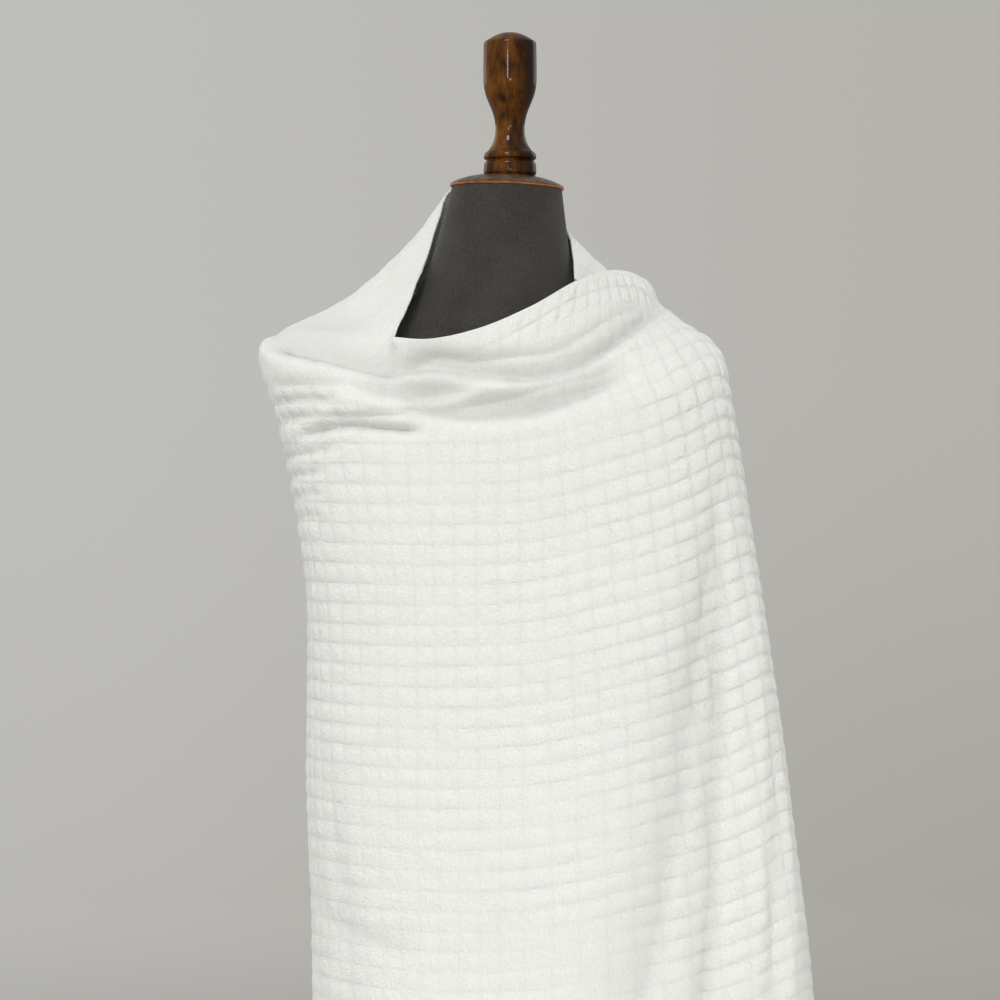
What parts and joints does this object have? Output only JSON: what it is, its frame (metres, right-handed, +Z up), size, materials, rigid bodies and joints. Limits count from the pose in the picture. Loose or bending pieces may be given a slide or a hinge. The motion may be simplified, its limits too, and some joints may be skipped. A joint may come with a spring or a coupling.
{
  "type": "ihram cloth on limbless dress form",
  "caption": "White waffle cloth wound round both shoulders of a limbless dress form with a turned wooden neck cap and a round base.",
  "frame": {"origin": "middle of the stand's flat underside", "axes": "+Z up along the pole, -Y out of the front of the form, +X to the viewer's right as seen from the front"},
  "size_m": [0.57, 0.38, 1.7323],
  "materials": {
    "waffle_cloth": "white cotton waffle weave, matt and slightly fuzzy",
    "form_cover": "charcoal jersey, matt",
    "turned_wood": "dark stained hardwood, glossy varnish",
    "stand_paint": "satin black enamel"
  },
  "bodies": {
    "root": {"rida_tucked_end": "waffle_cloth", "rida_back": "waffle_cloth", "rida_left_side": "waffle_cloth", "rida_front": "waffle_cloth", "rida_right_side": "waffle_cloth", "rida_thrown_end": "waffle_cloth", "form_torso": "form_cover", "neck_cap": "turned_wood", "neck_finial": "turned_wood", "form_bottom_plate": "turned_wood", "stand_socket": "stand_paint", "stand_pole": "stand_paint", "stand_base": "stand_paint"}
  },
  "joints": []
}
